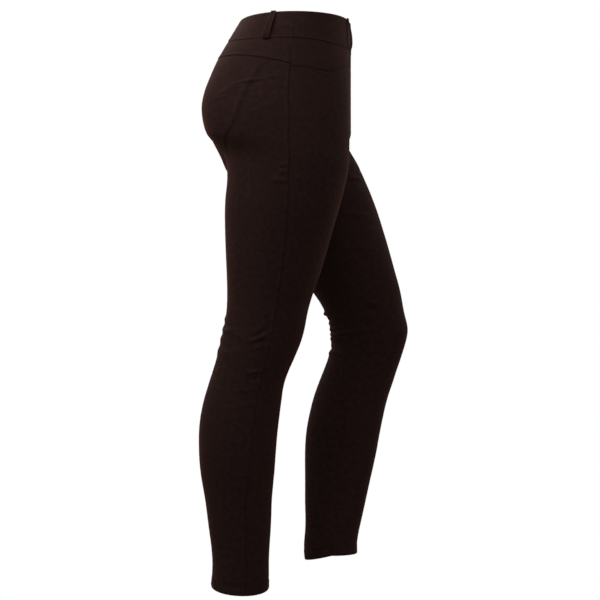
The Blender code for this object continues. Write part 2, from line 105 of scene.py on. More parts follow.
def empty_material(name):
    """A new material, and its node tree with nothing in it yet."""
    made = bpy.data.materials.new(name)
    made.use_nodes = True
    made.node_tree.nodes.clear()
    return made, made.node_tree


print("helper colour check:", [round(c, 3) for c in linear("2A1E1B")])

# %% [markdown]
# ## Studio
# The garment is shown alone on plain white. Dark cloth needs soft light from one side to
# show its folds, so the three main soft boxes stand above its right side and behind it, near
# enough that their light falls off toward the ankles. Two weak ones keep the front and the
# left side readable. Floor and surround are white paper. The surround is brighter above
# than below, so that the upper side of each fold is the lighter one.

# %% Surround
WHITE = linear("FFFFFF")
SURROUND_LOW, SURROUND_HIGH = 0.32, 0.74
SURROUND_FROM, SURROUND_TO = -0.7, 0.9  # upward parts of the directions with those strengths


def white_paper(tree, kind, strength):
    """Gives off light of some strength, and looks plain white itself."""
    seen = add_node(tree, kind, {"Color": WHITE, "Strength": 1.0})
    lit = add_node(tree, kind, {"Color": WHITE, "Strength": strength})
    looked_at = add_node(tree, "ShaderNodeLightPath", {}, give="Is Camera Ray")
    return add_node(tree, "ShaderNodeMixShader", {0: looked_at, 1: lit, 2: seen})


world = bpy.data.worlds.new("surround")
world.use_nodes = True
tree = world.node_tree
tree.nodes.clear()
direction = add_node(tree, "ShaderNodeTexCoord", {}, give="Generated")
upward = add_node(tree, "ShaderNodeSeparateXYZ", {"Vector": direction}, give="Z")
strength = add_node(tree, "ShaderNodeMapRange", {
    "Value": upward, "From Min": SURROUND_FROM, "From Max": SURROUND_TO,
    "To Min": SURROUND_LOW, "To Max": SURROUND_HIGH})
glow = white_paper(tree, "ShaderNodeBackground", strength)
add_node(tree, "ShaderNodeOutputWorld", {"Surface": glow})
bpy.context.scene.world = world
bpy.context.scene.view_settings.view_transform = "Standard"
print("surround", SURROUND_LOW, "below to", SURROUND_HIGH, "above")

# %% Floor
FLOOR_GLOW, FLOOR_HEIGHT, FLOOR_RADIUS, FLOOR_CORNERS = 0.36, -0.985, 3.0, 64

floor_mesh = bpy.data.meshes.new("floor")
ring = [(FLOOR_RADIUS * math.cos(t), FLOOR_RADIUS * math.sin(t), FLOOR_HEIGHT)
        for t in np.linspace(0, 2 * math.pi, FLOOR_CORNERS, endpoint=False)]
floor_mesh.from_pydata(ring, [], [list(range(len(ring)))])
floor = add_object("floor", floor_mesh)
paper, tree = empty_material("white_paper")
underneath = add_node(tree, "ShaderNodeNewGeometry", {}, give="Backfacing")
nothing = add_node(tree, "ShaderNodeBsdfTransparent", {})
glow = white_paper(tree, "ShaderNodeEmission", FLOOR_GLOW)
one_sided = add_node(tree, "ShaderNodeMixShader", {0: underneath, 1: glow, 2: nothing})
add_node(tree, "ShaderNodeOutputMaterial", {"Surface": one_sided})
floor_mesh.materials.append(paper)
print("floor at", FLOOR_HEIGHT, "m")


# %% Soft boxes
def soft_box(name, place, aim, size, watts):
    """A round soft box that faces a point."""
    lamp = bpy.data.lights.new(name, "AREA")
    lamp.shape, lamp.size, lamp.energy = "DISK", size, watts
    made = add_object(name, lamp)
    toward = np.array(aim) - np.array(place)
    made.location = place
    made.rotation_euler = (math.atan2(np.hypot(toward[0], toward[1]), -toward[2]), 0,
                           math.atan2(toward[0], -toward[1]) + math.pi)
    print(name, "at", place, watts, "W")


soft_box("key_light", (-0.95, 0.75, 1.15), (0, 0, -0.25), 0.8, 14.0)
soft_box("side_light", (-1.0, -0.45, 0.75), (0, 0, -0.1), 0.6, 4.4)
soft_box("back_light", (-0.45, 0.95, 0.75), (0, 0, -0.2), 0.6, 10.4)
soft_box("front_light", (1.6, -2.0, 0.5), (0, 0, -0.4), 1.2, 9.0)
soft_box("left_light", (1.8, 1.2, 1.2), (0, 0, -0.4), 1.6, 18.0)

# %% [markdown]
# ## The cut, as tables
# A pair of leggings is best described by sections, as a tailor's measures are: where each
# lies, how deep and how wide it is. These are the sizes that the solids were built from, so
# the cloth lies exactly on them. First come the trunk's sections, then those of the straight
# right leg and of the left leg, which steps forward with its knee bent.


# %% Trunk and legs
def table(names, *rows):
    """A short table as a dictionary of named columns."""
    return dict(zip(names.split(), np.array(rows, float).T))


TRUNK = table(
    "drop   front    back",
    (0.000, -0.0835, 0.0868),
    (0.030, -0.0840, 0.1035),
    (0.060, -0.0840, 0.1200),
    (0.090, -0.0840, 0.1330),
    (0.120, -0.0840, 0.1432),
    (0.145, -0.0840, 0.1470),
    (0.170, -0.0840, 0.1438),
)
# Drop and Y of a section's middle, its depth, and how far its front is raised and its outer
# side lowered, in degrees.
RIGHT = table(
    "drop   middle  depth   tilt   slant",
    (0.192, 0.0254, 0.2183,  -1.0,  0.0),
    (0.204, 0.0202, 0.2076,  -2.0,  0.0),
    (0.221, 0.0140, 0.1950,  -3.0,  0.0),
    (0.238, 0.0138, 0.1891,  -5.0,  0.0),
    (0.262, 0.0161, 0.1826,  -6.5,  1.0),
    (0.290, 0.0211, 0.1778,  -8.0,  2.0),
    (0.345, 0.0298, 0.1630,  -8.5,  3.0),
    (0.393, 0.0360, 0.1474,  -9.0,  3.0),
    (0.442, 0.0435, 0.1301, -11.0,  3.0),
    (0.480, 0.0486, 0.1245, -14.0,  3.0),
    (0.517, 0.0592, 0.1175, -17.0,  3.0),
    (0.555, 0.0715, 0.1130, -18.0,  3.5),
    (0.580, 0.0779, 0.1156, -14.0,  3.8),
    (0.605, 0.0837, 0.1200,  -9.0,  4.0),
    (0.643, 0.0897, 0.1231,  -4.0,  4.5),
    (0.681, 0.0915, 0.1206,  -1.0,  5.0),
    (0.718, 0.0915, 0.1143,   0.0,  5.5),
    (0.756, 0.0900, 0.1051,   1.0,  6.0),
    (0.794, 0.0885, 0.0988,   1.0,  6.5),
    (0.832, 0.0874, 0.0917,   0.0,  8.0),
    (0.865, 0.0870, 0.0895,  -1.0, 10.0),
    (0.894, 0.0882, 0.0914,  -2.5, 12.0),
)
LEFT = table(
    "drop    middle   depth   tilt   slant",
    (0.1920,  0.0225, 0.2138,   5.0, 0.0),
    (0.2040,  0.0185, 0.2074,   6.5, 0.0),
    (0.2210,  0.0104, 0.2038,   9.0, 0.0),
    (0.2380,  0.0013, 0.2030,  11.0, 0.0),
    (0.2620, -0.0143, 0.1921,  16.0, 1.0),
    (0.2860, -0.0290, 0.1839,  20.0, 2.0),
    (0.3360, -0.0570, 0.1669,  24.0, 3.0),
    (0.3810, -0.0797, 0.1505,  24.0, 3.0),
    (0.4255, -0.1014, 0.1328,  24.0, 3.0),
    (0.4590, -0.1126, 0.1266,  21.0, 3.0),
    (0.4850, -0.1180, 0.1242,  12.0, 3.0),
    (0.4980, -0.1202, 0.1262,   5.0, 3.0),
    (0.5110, -0.1186, 0.1228,  -3.0, 3.0),
    (0.5370, -0.1124, 0.1150, -15.0, 3.5),
    (0.5635, -0.1045, 0.1130, -19.0, 3.8),
    (0.5895, -0.0953, 0.1143, -19.0, 4.0),
    (0.6155, -0.0871, 0.1177, -16.0, 4.5),
    (0.6415, -0.0808, 0.1191, -12.0, 5.0),
    (0.6680, -0.0759, 0.1186,  -9.0, 5.5),
    (0.7065, -0.0709, 0.1135,  -7.0, 6.0),
    (0.7460, -0.0666, 0.1045,  -6.0, 6.5),
    (0.7845, -0.0623, 0.0959,  -6.0, 7.0),
    (0.8240, -0.0584, 0.0877,  -3.0, 7.5),
    (0.8500, -0.0562, 0.0868,   4.0, 8.0),
    (0.8630, -0.0570, 0.0858,   7.0, 8.0),
)
print("sections:", len(TRUNK["drop"]), len(RIGHT["drop"]), len(LEFT["drop"]))

# %% [markdown]
# Across the garment one table serves both sides, by the way along the cloth from the crotch:
# where a section's front and back lie, its outer side, how square it is, where the side seam
# lies and where the back panel seam lies.

# %% Girth
GIRTH = table(
    "along   lobe    outer   square seam    panel",
    (-0.238, 0.0120, 0.1420, 2.06, -0.0010, 0.165),
    (-0.208, 0.0260, 0.1500, 2.06,  0.0070, 0.165),
    (-0.178, 0.0440, 0.1570, 2.10,  0.0124, 0.165),
    (-0.148, 0.0590, 0.1630, 2.15,  0.0160, 0.190),
    (-0.118, 0.0700, 0.1680, 2.20,  0.0190, 0.245),
    (-0.093, 0.0750, 0.1715, 2.20,  0.0208, 0.280),
    (-0.068, 0.0780, 0.1730, 2.20,  0.0200, 0.320),
    (-0.034, 0.0820, 0.1733, 2.15,  0.0098, 0.420),
    ( 0.000, 0.0855, 0.1710, 2.10,  0.0035, 0.480),
    ( 0.053, 0.0850, 0.1665, 2.05,  0.0098, 0.510),
    ( 0.108, 0.0815, 0.1570, 2.05,  0.0140, 0.520),
    ( 0.157, 0.0795, 0.1490, 2.05,  0.0150, 0.520),
    ( 0.206, 0.0780, 0.1400, 2.05,  0.0145, 0.520),
    ( 0.245, 0.0775, 0.1355, 2.05,  0.0135, 0.520),
    ( 0.283, 0.0770, 0.1325, 2.05,  0.0160, 0.520),
    ( 0.323, 0.0760, 0.1285, 2.05,  0.0185, 0.520),
    ( 0.375, 0.0740, 0.1270, 2.05,  0.0215, 0.520),
    ( 0.413, 0.0720, 0.1260, 2.05,  0.0228, 0.520),
    ( 0.451, 0.0700, 0.1235, 2.05,  0.0210, 0.520),
    ( 0.488, 0.0680, 0.1185, 2.05,  0.0170, 0.520),
    ( 0.526, 0.0655, 0.1130, 2.05,  0.0120, 0.520),
    ( 0.564, 0.0630, 0.1080, 2.05,  0.0104, 0.520),
    ( 0.602, 0.0605, 0.1035, 2.05,  0.0095, 0.520),
    ( 0.660, 0.0570, 0.0990, 2.05,  0.0087, 0.520),
)
CROTCH_DROP, CROTCH_Y = 0.238, 0.012
FRONT_BEND, BACK_BEND = 0.172, 0.150
THIGH_GAP, ARCH_HEIGHT = 0.003, 0.014
CROWN, CLEFT = 0.0034, 0.0060
print("widest section:", round(2 * GIRTH["outer"].max(), 3), "m")

# %% [markdown]
# ## The surface
# Smooth curves run through the tables' columns, and each level of a side gets one section
# from the side seam round to the front's and the back's inner edge. A place on the cloth is
# then two numbers: its drop, and its way round, from -1 at the inner edge of the front
# through 0 at the side seam to 1 at the inner edge of the back. The surface is kept as a
# fine grid, so that thousands of such places are quickly looked up at once.


# %% Curves
def spline(knots, values):
    """Natural cubic spline through one column of a table."""
    count = len(knots)
    step = np.diff(knots)
    slope = np.diff(values) / step
    system, load = np.eye(count), np.zeros(count)
    for i in range(1, count - 1):
        system[i, i - 1:i + 2] = step[i - 1], 2 * (step[i - 1] + step[i]), step[i]
        load[i] = 6 * (slope[i] - slope[i - 1])
    bend = np.linalg.solve(system, load)

    def value(at):
        i = np.clip(np.searchsorted(knots, at) - 1, 0, count - 2)
        before, after, h = at - knots[i], knots[i + 1] - at, step[i]
        return ((bend[i] * after ** 3 + bend[i + 1] * before ** 3) / (6 * h)
                + (values[i] / h - bend[i] * h / 6) * after
                + (values[i + 1] / h - bend[i + 1] * h / 6) * before)

    return value


def ease(t):
    """From 0 to 1 with level ends."""
    t = np.clip(t, 0.0, 1.0)
    return t * t * (3 - 2 * t)


def unit(v):
    """Each vector scaled to a length of one."""
    return v / np.maximum(np.linalg.norm(v, axis=-1, keepdims=True), 1e-12)


RISE_LINE = {half: spline(TRUNK["drop"], TRUNK[half]) for half in ("front", "back")}


def rise(drop, half):
    """Point of the rise seam in the middle plane, and how far it has curved under."""
    bend = FRONT_BEND if half == "front" else BACK_BEND
    edge = RISE_LINE[half](min(drop, bend))
    edge -= CROWN if half == "front" else CLEFT * ease(drop / bend)
    closed = min(max((drop - bend) / (CROTCH_DROP - bend), 0.0), 1.0)
    turn = closed * math.pi / 2
    y = edge + (CROTCH_Y - edge) * (1 - math.cos(turn))
    height = -min(drop, bend) - (CROTCH_DROP - bend) * math.sin(turn)
    return np.array([0.0, y, height]), closed


print("crotch at", [round(v, 4) for v in rise(CROTCH_DROP, "front")[0]])


# %% The inner part of a section
def inward(start, end, closed, points):
    """From a section's front or back to its inner end: a level wave on the trunk, which
    turns into the quarter of an oval as the section closes round the leg."""
    t = np.linspace(0, 1, points + 1)[1:, None]
    turn = t * math.pi / 2
    wave = (1 - np.cos(math.pi * t)) / 2
    spread = start + (end - start) * np.concatenate([t, wave, wave], axis=1)
    level = 1 - np.cos(turn)
    wrap = start + (end - start) * np.concatenate([np.sin(turn), level, level], axis=1)
    return spread * (1 - closed) + wrap * closed


def run_along(line):
    """Distance along a line of points, from its start to each of them."""
    return np.concatenate([[0], np.cumsum(np.linalg.norm(np.diff(line, axis=0), axis=1))])


def between(at, run, values):
    """Points or directions at some distances along a line."""
    return np.stack([np.interp(at, run, values[:, k]) for k in range(3)], axis=-1)


SECTION_POINTS, WAYS, WALK_STEPS, ROW_STEP = 40, 120, 500, 0.0025
CROTCH_ROWS = CROTCH_DROP + np.array([0.0, 0.0002, 0.0006, 0.0013, 0.0025, 0.0038])
SETTLE = 0.030  # drop over which the inner end moves from CROTCH_Y to the leg's own middle
print("a section every", ROW_STEP, "m")


# %% The surface of one side
class Side:
    """The surface of one side: a grid of points and of directions out of the cloth."""

    def __init__(self, sign, leg):
        self.sign, self.hem = sign, leg["drop"][-1]
        drop = np.concatenate([TRUNK["drop"], leg["drop"]])
        level = 0 * TRUNK["drop"]
        above = {"middle": (TRUNK["front"] + TRUNK["back"]) / 2,
                 "depth": TRUNK["back"] - TRUNK["front"], "tilt": level, "slant": level}
        self.middle, self.depth, self.tilt, self.slant = (
            spline(drop, np.concatenate([above[name], leg[name]])) for name in above)
        self.walk = np.linspace(0, self.hem, WALK_STEPS)
        run = np.hypot(np.diff(self.walk), np.diff(self.middle(self.walk)))
        run = np.concatenate([[0], np.cumsum(run)])
        run -= np.interp(CROTCH_DROP, self.walk, run)
        ends = np.where(run < 0, GIRTH["along"][0] / run[0], GIRTH["along"][-1] / run[-1])
        self.run = run * ends
        self.girth = {name: spline(GIRTH["along"], GIRTH[name]) for name in GIRTH}
        rows = np.concatenate([np.arange(0, self.hem, ROW_STEP), CROTCH_ROWS, [self.hem]])
        self.rows = np.unique(np.round(rows, 6))
        cut = [self.section(d) for d in self.rows]
        self.points = np.array([points for points, _ in cut])
        self.lengths = np.array([lengths for _, lengths in cut])
        self.out = self.outward()

    def along(self, drop):
        """Way along the cloth from the crotch, less than 0 above it."""
        return np.interp(drop, self.walk, self.run)

    def section(self, drop):
        """One section, evenly spaced from the front's inner edge to the back's, and the
        lengths of its two halves."""
        along = self.along(drop)
        lobe, outer, seam = (self.girth[name](along) for name in ("lobe", "outer", "seam"))
        middle, half = self.middle(drop), self.depth(drop) / 2
        tilt, lean = math.radians(self.tilt(drop)), math.tan(math.radians(self.slant(drop)))
        turn = np.linspace(0, math.pi, 2 * SECTION_POINTS + 1)
        square = 2 / self.girth["square"](along)
        x = lobe + (outer - lobe) * np.abs(np.sin(turn)) ** square
        y = -half * np.sign(np.cos(turn)) * np.abs(np.cos(turn)) ** square
        outside = np.stack([x, middle + y * math.cos(tilt),
                            -drop - y * math.sin(tilt) - (x - lobe) * lean], axis=-1)
        seam_y = -seam / math.cos(tilt)
        cut = int(np.searchsorted(y, seam_y))
        share = (seam_y - y[cut - 1]) / (y[cut] - y[cut - 1])
        on_seam = outside[cut - 1] * (1 - share) + outside[cut] * share
        halves, lengths = [], []
        for name, arc in (("front", outside[cut - 1::-1]), ("back", outside[cut:])):
            end, closed = self.inner_end(drop, name, lobe, outer, lean)
            path = np.concatenate([[on_seam], arc, inward(arc[-1], end, closed, SECTION_POINTS)])
            path = path * (self.sign, 1, 1)
            run = run_along(path)
            halves.append(between(np.linspace(0, run[-1], WAYS + 1), run, path))
            lengths.append(run[-1])
        return np.concatenate([halves[0][::-1], halves[1][1:]]), lengths

    def inner_end(self, drop, half, lobe, outer, lean):
        """Where a section ends inside, and how far it has closed round the leg."""
        if drop <= CROTCH_DROP:
            point, closed = rise(drop, half)
            return point, closed ** 3
        open_share = min((drop - CROTCH_DROP) / ARCH_HEIGHT, 1.0)
        inner = max(2 * lobe - outer, 0) + THIGH_GAP * math.sqrt(1 - (1 - open_share) ** 2)
        settle = math.exp(-(drop - CROTCH_DROP) / SETTLE)
        y = self.middle(drop) + (CROTCH_Y - self.middle(CROTCH_DROP)) * settle
        return np.array([inner, y, -drop + (lobe - inner) * lean]), 1.0

    def outward(self):
        """Directions out of the cloth, joined up at the middle plane and the inseam."""
        down = np.gradient(self.points, self.rows, axis=0)
        out = self.sign * unit(np.cross(down, np.gradient(self.points, axis=1)))
        inner = unit(out[:, 0] + out[:, -1])
        trunk = self.rows <= CROTCH_DROP
        for edge in (0, -1):
            flat = out[:, edge] * (0, 1, 1)
            out[:, edge] = np.where(trunk[:, None], unit(flat), inner)
        return out

    def at(self, grid, drop, way):
        """Values of a grid at drops and ways."""
        drop, way = np.broadcast_arrays(drop, way)
        r = np.interp(drop, self.rows, np.arange(len(self.rows)))
        c = (np.clip(way, -1, 1) + 1) * WAYS
        r0 = np.minimum(r.astype(int), len(self.rows) - 2)
        c0 = np.minimum(c.astype(int), 2 * WAYS - 1)
        fr, fc = (r - r0)[..., None], (c - c0)[..., None]
        upper = grid[r0, c0] * (1 - fc) + grid[r0, c0 + 1] * fc
        lower = grid[r0 + 1, c0] * (1 - fc) + grid[r0 + 1, c0 + 1] * fc
        return upper * (1 - fr) + lower * fr

    def across(self, drop, way):
        """Distance from the side seam, less than 0 on the front."""
        front, back = (np.interp(drop, self.rows, self.lengths[:, k]) for k in (0, 1))
        return way * np.where(np.asarray(way) < 0, front, back)

    def lay(self, drops, ways):
        """Places on the surface, the directions out of it and texture coordinates there."""
        uv = np.stack([self.sign * self.across(drops, ways), self.along(drops)], axis=-1)
        return self.at(self.points, drops, ways), unit(self.at(self.out, drops, ways)), uv


print("points in a section:", 2 * WAYS + 1)

# %% Both sides
right, left = Side(-1, RIGHT), Side(1, LEFT)
SIDES = (("right", right), ("left", left))
for label, side in SIDES:
    for name, drop in (("waist", 0.0), ("thigh", 0.27), ("hem", side.hem)):
        print(label, name, "half round" if name == "waist" else "round",
              round(float(side.lengths[np.searchsorted(side.rows, drop) - (drop > 0)].sum()), 3), "m")

# %% [markdown]
# ## Seam lines
# The garment's look comes from where its seams run: the waistband is a little deeper in
# front, the yoke rises in a soft arch over the seat, the mock pocket is a shallow scoop and
# the back panel seam swings from the yoke's middle out to the side of the seat and back in.
# Each line is a drop for each way round, or for the panel seam a way for each drop.

# %% Seam lines
CLOTH, BAND_CLOTH, HEM_CLOTH = 0.0015, 0.0024, 0.0026
BAND_SIDE, BAND_FRONT, BAND_BACK = 0.0412, 0.0488, 0.0350
BAND_FALL, BAND_CLIMB = 0.55, 0.35  # ways where it stops falling in front and starts to climb behind
EDGE_DIP, YOKE_SIDE, YOKE_BACK = 0.0020, 0.0810, 0.0652
YOKE_REACH, YOKE_CURVE = 0.45, 1.7
LEVEL_ROW = 0.160
SCOOP = table(
    "share drop",
    (0.00, 0.0873),
    (0.12, 0.0882),
    (0.22, 0.0916),
    (0.31, 0.0925),
    (0.40, 0.0892),
    (0.50, 0.0828),
    (0.61, 0.0790),
    (0.70, 0.0745),
    (0.77, 0.0650),
    (0.80, 0.0540),
    (0.815, BAND_FRONT),
)
SCOOP_CURVE, SCOOP_END = spline(SCOOP["share"], SCOOP["drop"]), SCOOP["share"][-1]


def edge_line(way):
    return EDGE_DIP * ease(np.abs(way))


def band_line(way):
    front = BAND_SIDE + (BAND_FRONT - BAND_SIDE) * ease(-way / BAND_FALL)
    back = BAND_SIDE + (BAND_BACK - BAND_SIDE) * ease((way - BAND_CLIMB) / (1 - BAND_CLIMB))
    return np.where(np.asarray(way) < 0, front, back)


def yoke_line(way):
    return YOKE_BACK + (YOKE_SIDE - YOKE_BACK) * np.maximum(1 - way / YOKE_REACH, 0.0) ** YOKE_CURVE


def scoop_line(way):
    return SCOOP_CURVE(np.minimum(np.abs(way), SCOOP_END))


def front_top(way):
    return np.where(np.abs(way) < SCOOP_END, scoop_line(way), band_line(way))


def panel_way(side, drop):
    return side.girth["panel"](side.along(drop))


def fan(drop, way, top_line, first):
    """Level rows lower down, spread out above so that the first one follows a seam line."""
    top = top_line(way)
    spread = top + (LEVEL_ROW - top) * (drop - first) / (LEVEL_ROW - first)
    return np.where(drop < LEVEL_ROW, spread, drop)


print("band", BAND_SIDE, "m deep at the side, yoke down to", YOKE_SIDE)

# %% [markdown]
# ## Folds
# Worn tight, the cloth folds where it is pushed together: a few long soft ridges lie across
# the seat, short puckers sit under the hip beside the side seam, and the hollow behind each
# knee has a fan of small slanting creases. The ridges behind the knee that show on the
# outline are in the solids too. Each leg's hidden side gets similar folds, a little shifted
# and weaker.

# %% Folds
# Along, way, reach, width and height of each ridge.
RIDGES_BEHIND_KNEE = (
    (0.251, 0.62, 0.40, 0.0055, 0.0016),
    (0.268, 0.45, 0.38, 0.0060, 0.0022),
    (0.285, 0.66, 0.42, 0.0065, 0.0022),
    (0.305, 0.50, 0.36, 0.0070, 0.0016),
)
# Along and across of each fold's middle, its slope toward the back in degrees, its length,
# its width and its height, less than 0 for a trough.
SEAT_FOLDS = (
    (-0.1360, 0.026,  3, 0.024, 0.0020, 0.0006),
    (-0.1318, 0.050, -6, 0.036, 0.0020, 0.0009),
    (-0.1288, 0.070, -6, 0.040, 0.0020, 0.0010),
    (-0.1255, 0.087, -6, 0.042, 0.0018, 0.0008),
    (-0.1208, 0.089, -5, 0.048, 0.0018, 0.0010),
    (-0.1162, 0.099, -6, 0.050, 0.0018, 0.0010),
    (-0.1122, 0.105, -8, 0.042, 0.0017, 0.0008),
    (-0.1068, 0.108, -8, 0.048, 0.0020, 0.0009),
    (-0.0520, 0.130,  9, 0.070, 0.0055, 0.0008),
    (-0.0300, 0.150, 14, 0.080, 0.0055, 0.0010),
    (-0.0120, 0.162, 20, 0.070, 0.0050, 0.0009),
)
HIP_PUCKERS = (
    (-0.001,  0.009, -17, 0.022, 0.0030, 0.0010),
    ( 0.008,  0.009,   0, 0.022, 0.0032, 0.0012),
    ( 0.021,  0.015,  -5, 0.034, 0.0036, 0.0012),
    ( 0.015, -0.012,   8, 0.022, 0.0034, 0.0006),
)
KNEE_CREASES = (
    (0.2490, 0.0220, -44, 0.046, 0.0030,  0.0004),
    (0.2540, 0.0180, -44, 0.042, 0.0022, -0.0007),
    (0.2625, 0.0205, -36, 0.060, 0.0024,  0.0009),
    (0.2640, 0.0740, -19, 0.070, 0.0040,  0.0008),
    (0.2640, 0.0080,  -8, 0.024, 0.0020, -0.0006),
    (0.2690, 0.0210, -38, 0.028, 0.0020, -0.0007),
    (0.2765, 0.0170, -32, 0.038, 0.0024,  0.0006),
    (0.2960, 0.0580, -20, 0.066, 0.0046,  0.0004),
    (0.3130, 0.0130, -25, 0.040, 0.0026,  0.0008),
    (0.3235, 0.0110, -25, 0.032, 0.0024, -0.0005),
    (0.3440, 0.0230, -14, 0.050, 0.0030,  0.0006),
    (0.3700, 0.0300, -18, 0.060, 0.0040,  0.0005),
)
INNER_FOLDS = (
    (0.041, -0.178, -13, 0.064, 0.0030,  0.0019),
    (0.047, -0.173, -15, 0.050, 0.0026,  0.0006),
    (0.104, -0.186, -18, 0.084, 0.0032,  0.0018),
    (0.110, -0.183, -20, 0.070, 0.0028,  0.0007),
    (0.154, -0.178, -18, 0.080, 0.0030,  0.0009),
    (0.160, -0.176, -19, 0.090, 0.0030,  0.0010),
    (0.248, -0.161, -34, 0.040, 0.0038,  0.0010),
    (0.257, -0.161, -27, 0.044, 0.0038, -0.0008),
    (0.238,  0.138, -29, 0.060, 0.0044,  0.0014),
    (0.296,  0.142, -24, 0.048, 0.0042,  0.0014),
    (0.338,  0.130,   5, 0.070, 0.0050,  0.0010),
)
BEHIND_BENT_KNEE = (
    (0.2315, 0.111, -10, 0.056, 0.0034,  0.0024),
    (0.2470, 0.110, -12, 0.056, 0.0042, -0.0012),
    (0.3320, 0.108,   0, 0.050, 0.0036, -0.0009),
    (0.3415, 0.108,   0, 0.050, 0.0036,  0.0006),
)
CROTCH_CREASES = (
    (-0.060, -0.190, 24, 0.070, 0.0045, 0.0010),
    (-0.035, -0.196, 18, 0.075, 0.0045, 0.0012),
    (-0.008, -0.202, 10, 0.060, 0.0045, 0.0009),
    ( 0.020,  0.205, 12, 0.060, 0.0050, 0.0009),
)
OUTER_FOLDS = SEAT_FOLDS + HIP_PUCKERS + KNEE_CREASES + CROTCH_CREASES
# The folds that each side has as they stand, and those that it has as shifted copies.
FOLD_SETS = {right: (OUTER_FOLDS, INNER_FOLDS), left: (INNER_FOLDS + BEHIND_BENT_KNEE, OUTER_FOLDS)}
FOLD_DEPTH, COPY_SHIFT, COPY_HEIGHT = 1.6, (0.006, 0.004, 5), 0.85
WAVES, PHASES, STRETCHES = 7, (0, 6.28), (0.7, 1.6)


def fold_height(side, drop, way):
    """How far all folds raise the cloth at some places."""
    along, across = side.along(drop), side.across(drop, way)
    raised = 0 * along
    for at, middle, reach, width, height in RIDGES_BEHIND_KNEE:
        down, aside = (along - at) / width, (way - middle) / reach
        raised = raised + height * np.exp(-down ** 2) * np.maximum(1 - aside ** 2, 0) ** 2
    for copied, rows in enumerate(FOLD_SETS[side]):
        shift_along, shift_across, shift_slope = (copied * shift for shift in COPY_SHIFT)
        for at, beside, slope, length, width, height in rows:
            turn = math.radians(slope + shift_slope)
            x, y = across - beside - shift_across, along - at - shift_along
            u = x * math.cos(turn) - y * math.sin(turn)
            v = x * math.sin(turn) + y * math.cos(turn)
            fold = np.exp(-(v / width) ** 2) * np.maximum(1 - (u / (length / 2)) ** 2, 0) ** 2
            raised = raised + FOLD_DEPTH * height * COPY_HEIGHT ** copied * fold
    return raised


def uneven(along, across, size, seed):
    """Soft unevenness of cloth, as the sum of a few waves that lie askew."""
    pick = np.random.default_rng(seed)
    turns, phases, stretches = (pick.uniform(*span, WAVES) for span in ((0, math.pi), PHASES, STRETCHES))
    total = 0 * along
    for turn, phase, stretch in zip(turns, phases, stretches):
        askew = along * math.cos(turn) + across * math.sin(turn)
        total = total + np.sin(askew * 2 * math.pi / (size * stretch) + phase)
    return total / WAVES


for label, side in SIDES:
    print("folds on the", label, sum(len(rows) for rows in FOLD_SETS[side]))

# %% [markdown]
# ## How a border looks
# What makes sewn cloth look sewn is the last centimetre before a seam. A plain seam is sunk,
# with a soft swelling beside it where the turnings lie underneath. Where one piece is
# stitched down on another, its edge stands proud and the lower piece dips. The turned hem is
# thicker, with a groove at its stitches. Short puckers run along each of them, because the
# thread is a little tighter than the cloth. The same distances get painted shade in the sunk
# and overlapped places and a painted highlight, partly wear, on raised edges and folds. So
# each kind of border is a few soft bumps of height and of painted light and wear, and maybe
# a ledge.


# %% Kinds of border
def border(heights, painted_light_and_wear_bumps, ledge=(0, 0, 1), pucker=0.0, fade=(0, 1, 0)):
    """Bumps of height and of painted light and wear (painted shade below 0, painted highlight
    and wear above 0), each with its size, middle and width; a ledge's height, where it starts
    to fall and over what breadth; how strong the puckers are; and from what drop, over how
    far and by how much all of it fades."""
    return heights, painted_light_and_wear_bumps, ledge, pucker, fade


HEM_STITCH = 0.0145
DOWN_LEG, UNDER_SEAT, DOWN_INSEAM = (0.300, 0.300, 0.20), (0.165, 0.060, 0.75), (0.225, 0.025, 0.80)
# The second list of each kind is painted light: below 0 painted shade in sunk seams, under overlapping
# edges and in the hem's groove; above 0 a painted highlight, partly wear, on raised edges and folds.
BORDERS = {
    "seam": border([(-0.0007, 0, 0.0011), (0.0004, 0.0030, 0.0020)],
                   [(0.10, 0.0032, 0.0014), (-0.7, 0, 0.0013)], pucker=1.0),
    "ridge": border([(-0.0005, 0, 0.0009), (0.0004, 0.0028, 0.0022)],
                    [(0.06, 0.0026, 0.0015), (-0.35, 0, 0.0012)], pucker=1.0, fade=DOWN_LEG),
    "ditch": border([(-0.0005, 0, 0.0022)], [(-0.35, 0, 0.0020)], pucker=0.6, fade=DOWN_LEG),
    "hollow": border([(-0.0011, 0, 0.0140)], [(-0.35, 0, 0.0060)], pucker=0.5, fade=UNDER_SEAT),
    "crest": border([(-0.0011, 0, 0.0030), (0.0004, 0.0060, 0.0050)],
                    [(0.08, 0.0060, 0.0040)], pucker=0.5, fade=UNDER_SEAT),
    "inseam": border([(-0.0007, 0, 0.0013), (0.0003, 0.0034, 0.0022)],
                     [(0.06, 0.0034, 0.0016), (-0.6, 0, 0.0014)], pucker=0.6, fade=DOWN_INSEAM),
    "joined": border([(-0.0003, 0, 0.0010)], [(-0.20, 0, 0.0010)]),
    "over": border([(-0.0006, 0, 0.0005)], [(0.20, 0.0014, 0.0010)], ledge=(0.0005, 0, 0.008), pucker=0.8),
    "scooped": border([(-0.0006, 0, 0.0005)], [(-0.15, 0, 0.0016)], ledge=(0.0005, 0, 0.008), pucker=0.8),
    "under": border([], [(-1.2, 0, 0.0020)], ledge=(-0.0004, 0, 0.005), pucker=0.6),
    "banded": border([], [(-0.30, 0, 0.0030)], ledge=(-0.0004, 0, 0.006), pucker=0.6),
    "fold": border([(0.0002, 0.003, 0.003), (-0.0004, 0, 0.0007)], [(0.35, 0, 0.0010)]),
    "hem": border([(-0.0005, HEM_STITCH, 0.0010), (-0.0007, 0, 0.0008)],
                  [(0.30, 0, 0.0012), (-0.55, HEM_STITCH, 0.0009)],
                  ledge=(0.0004, HEM_STITCH - 0.001, 0.002), pucker=1.0),
}
print("border kinds:", ", ".join(BORDERS))

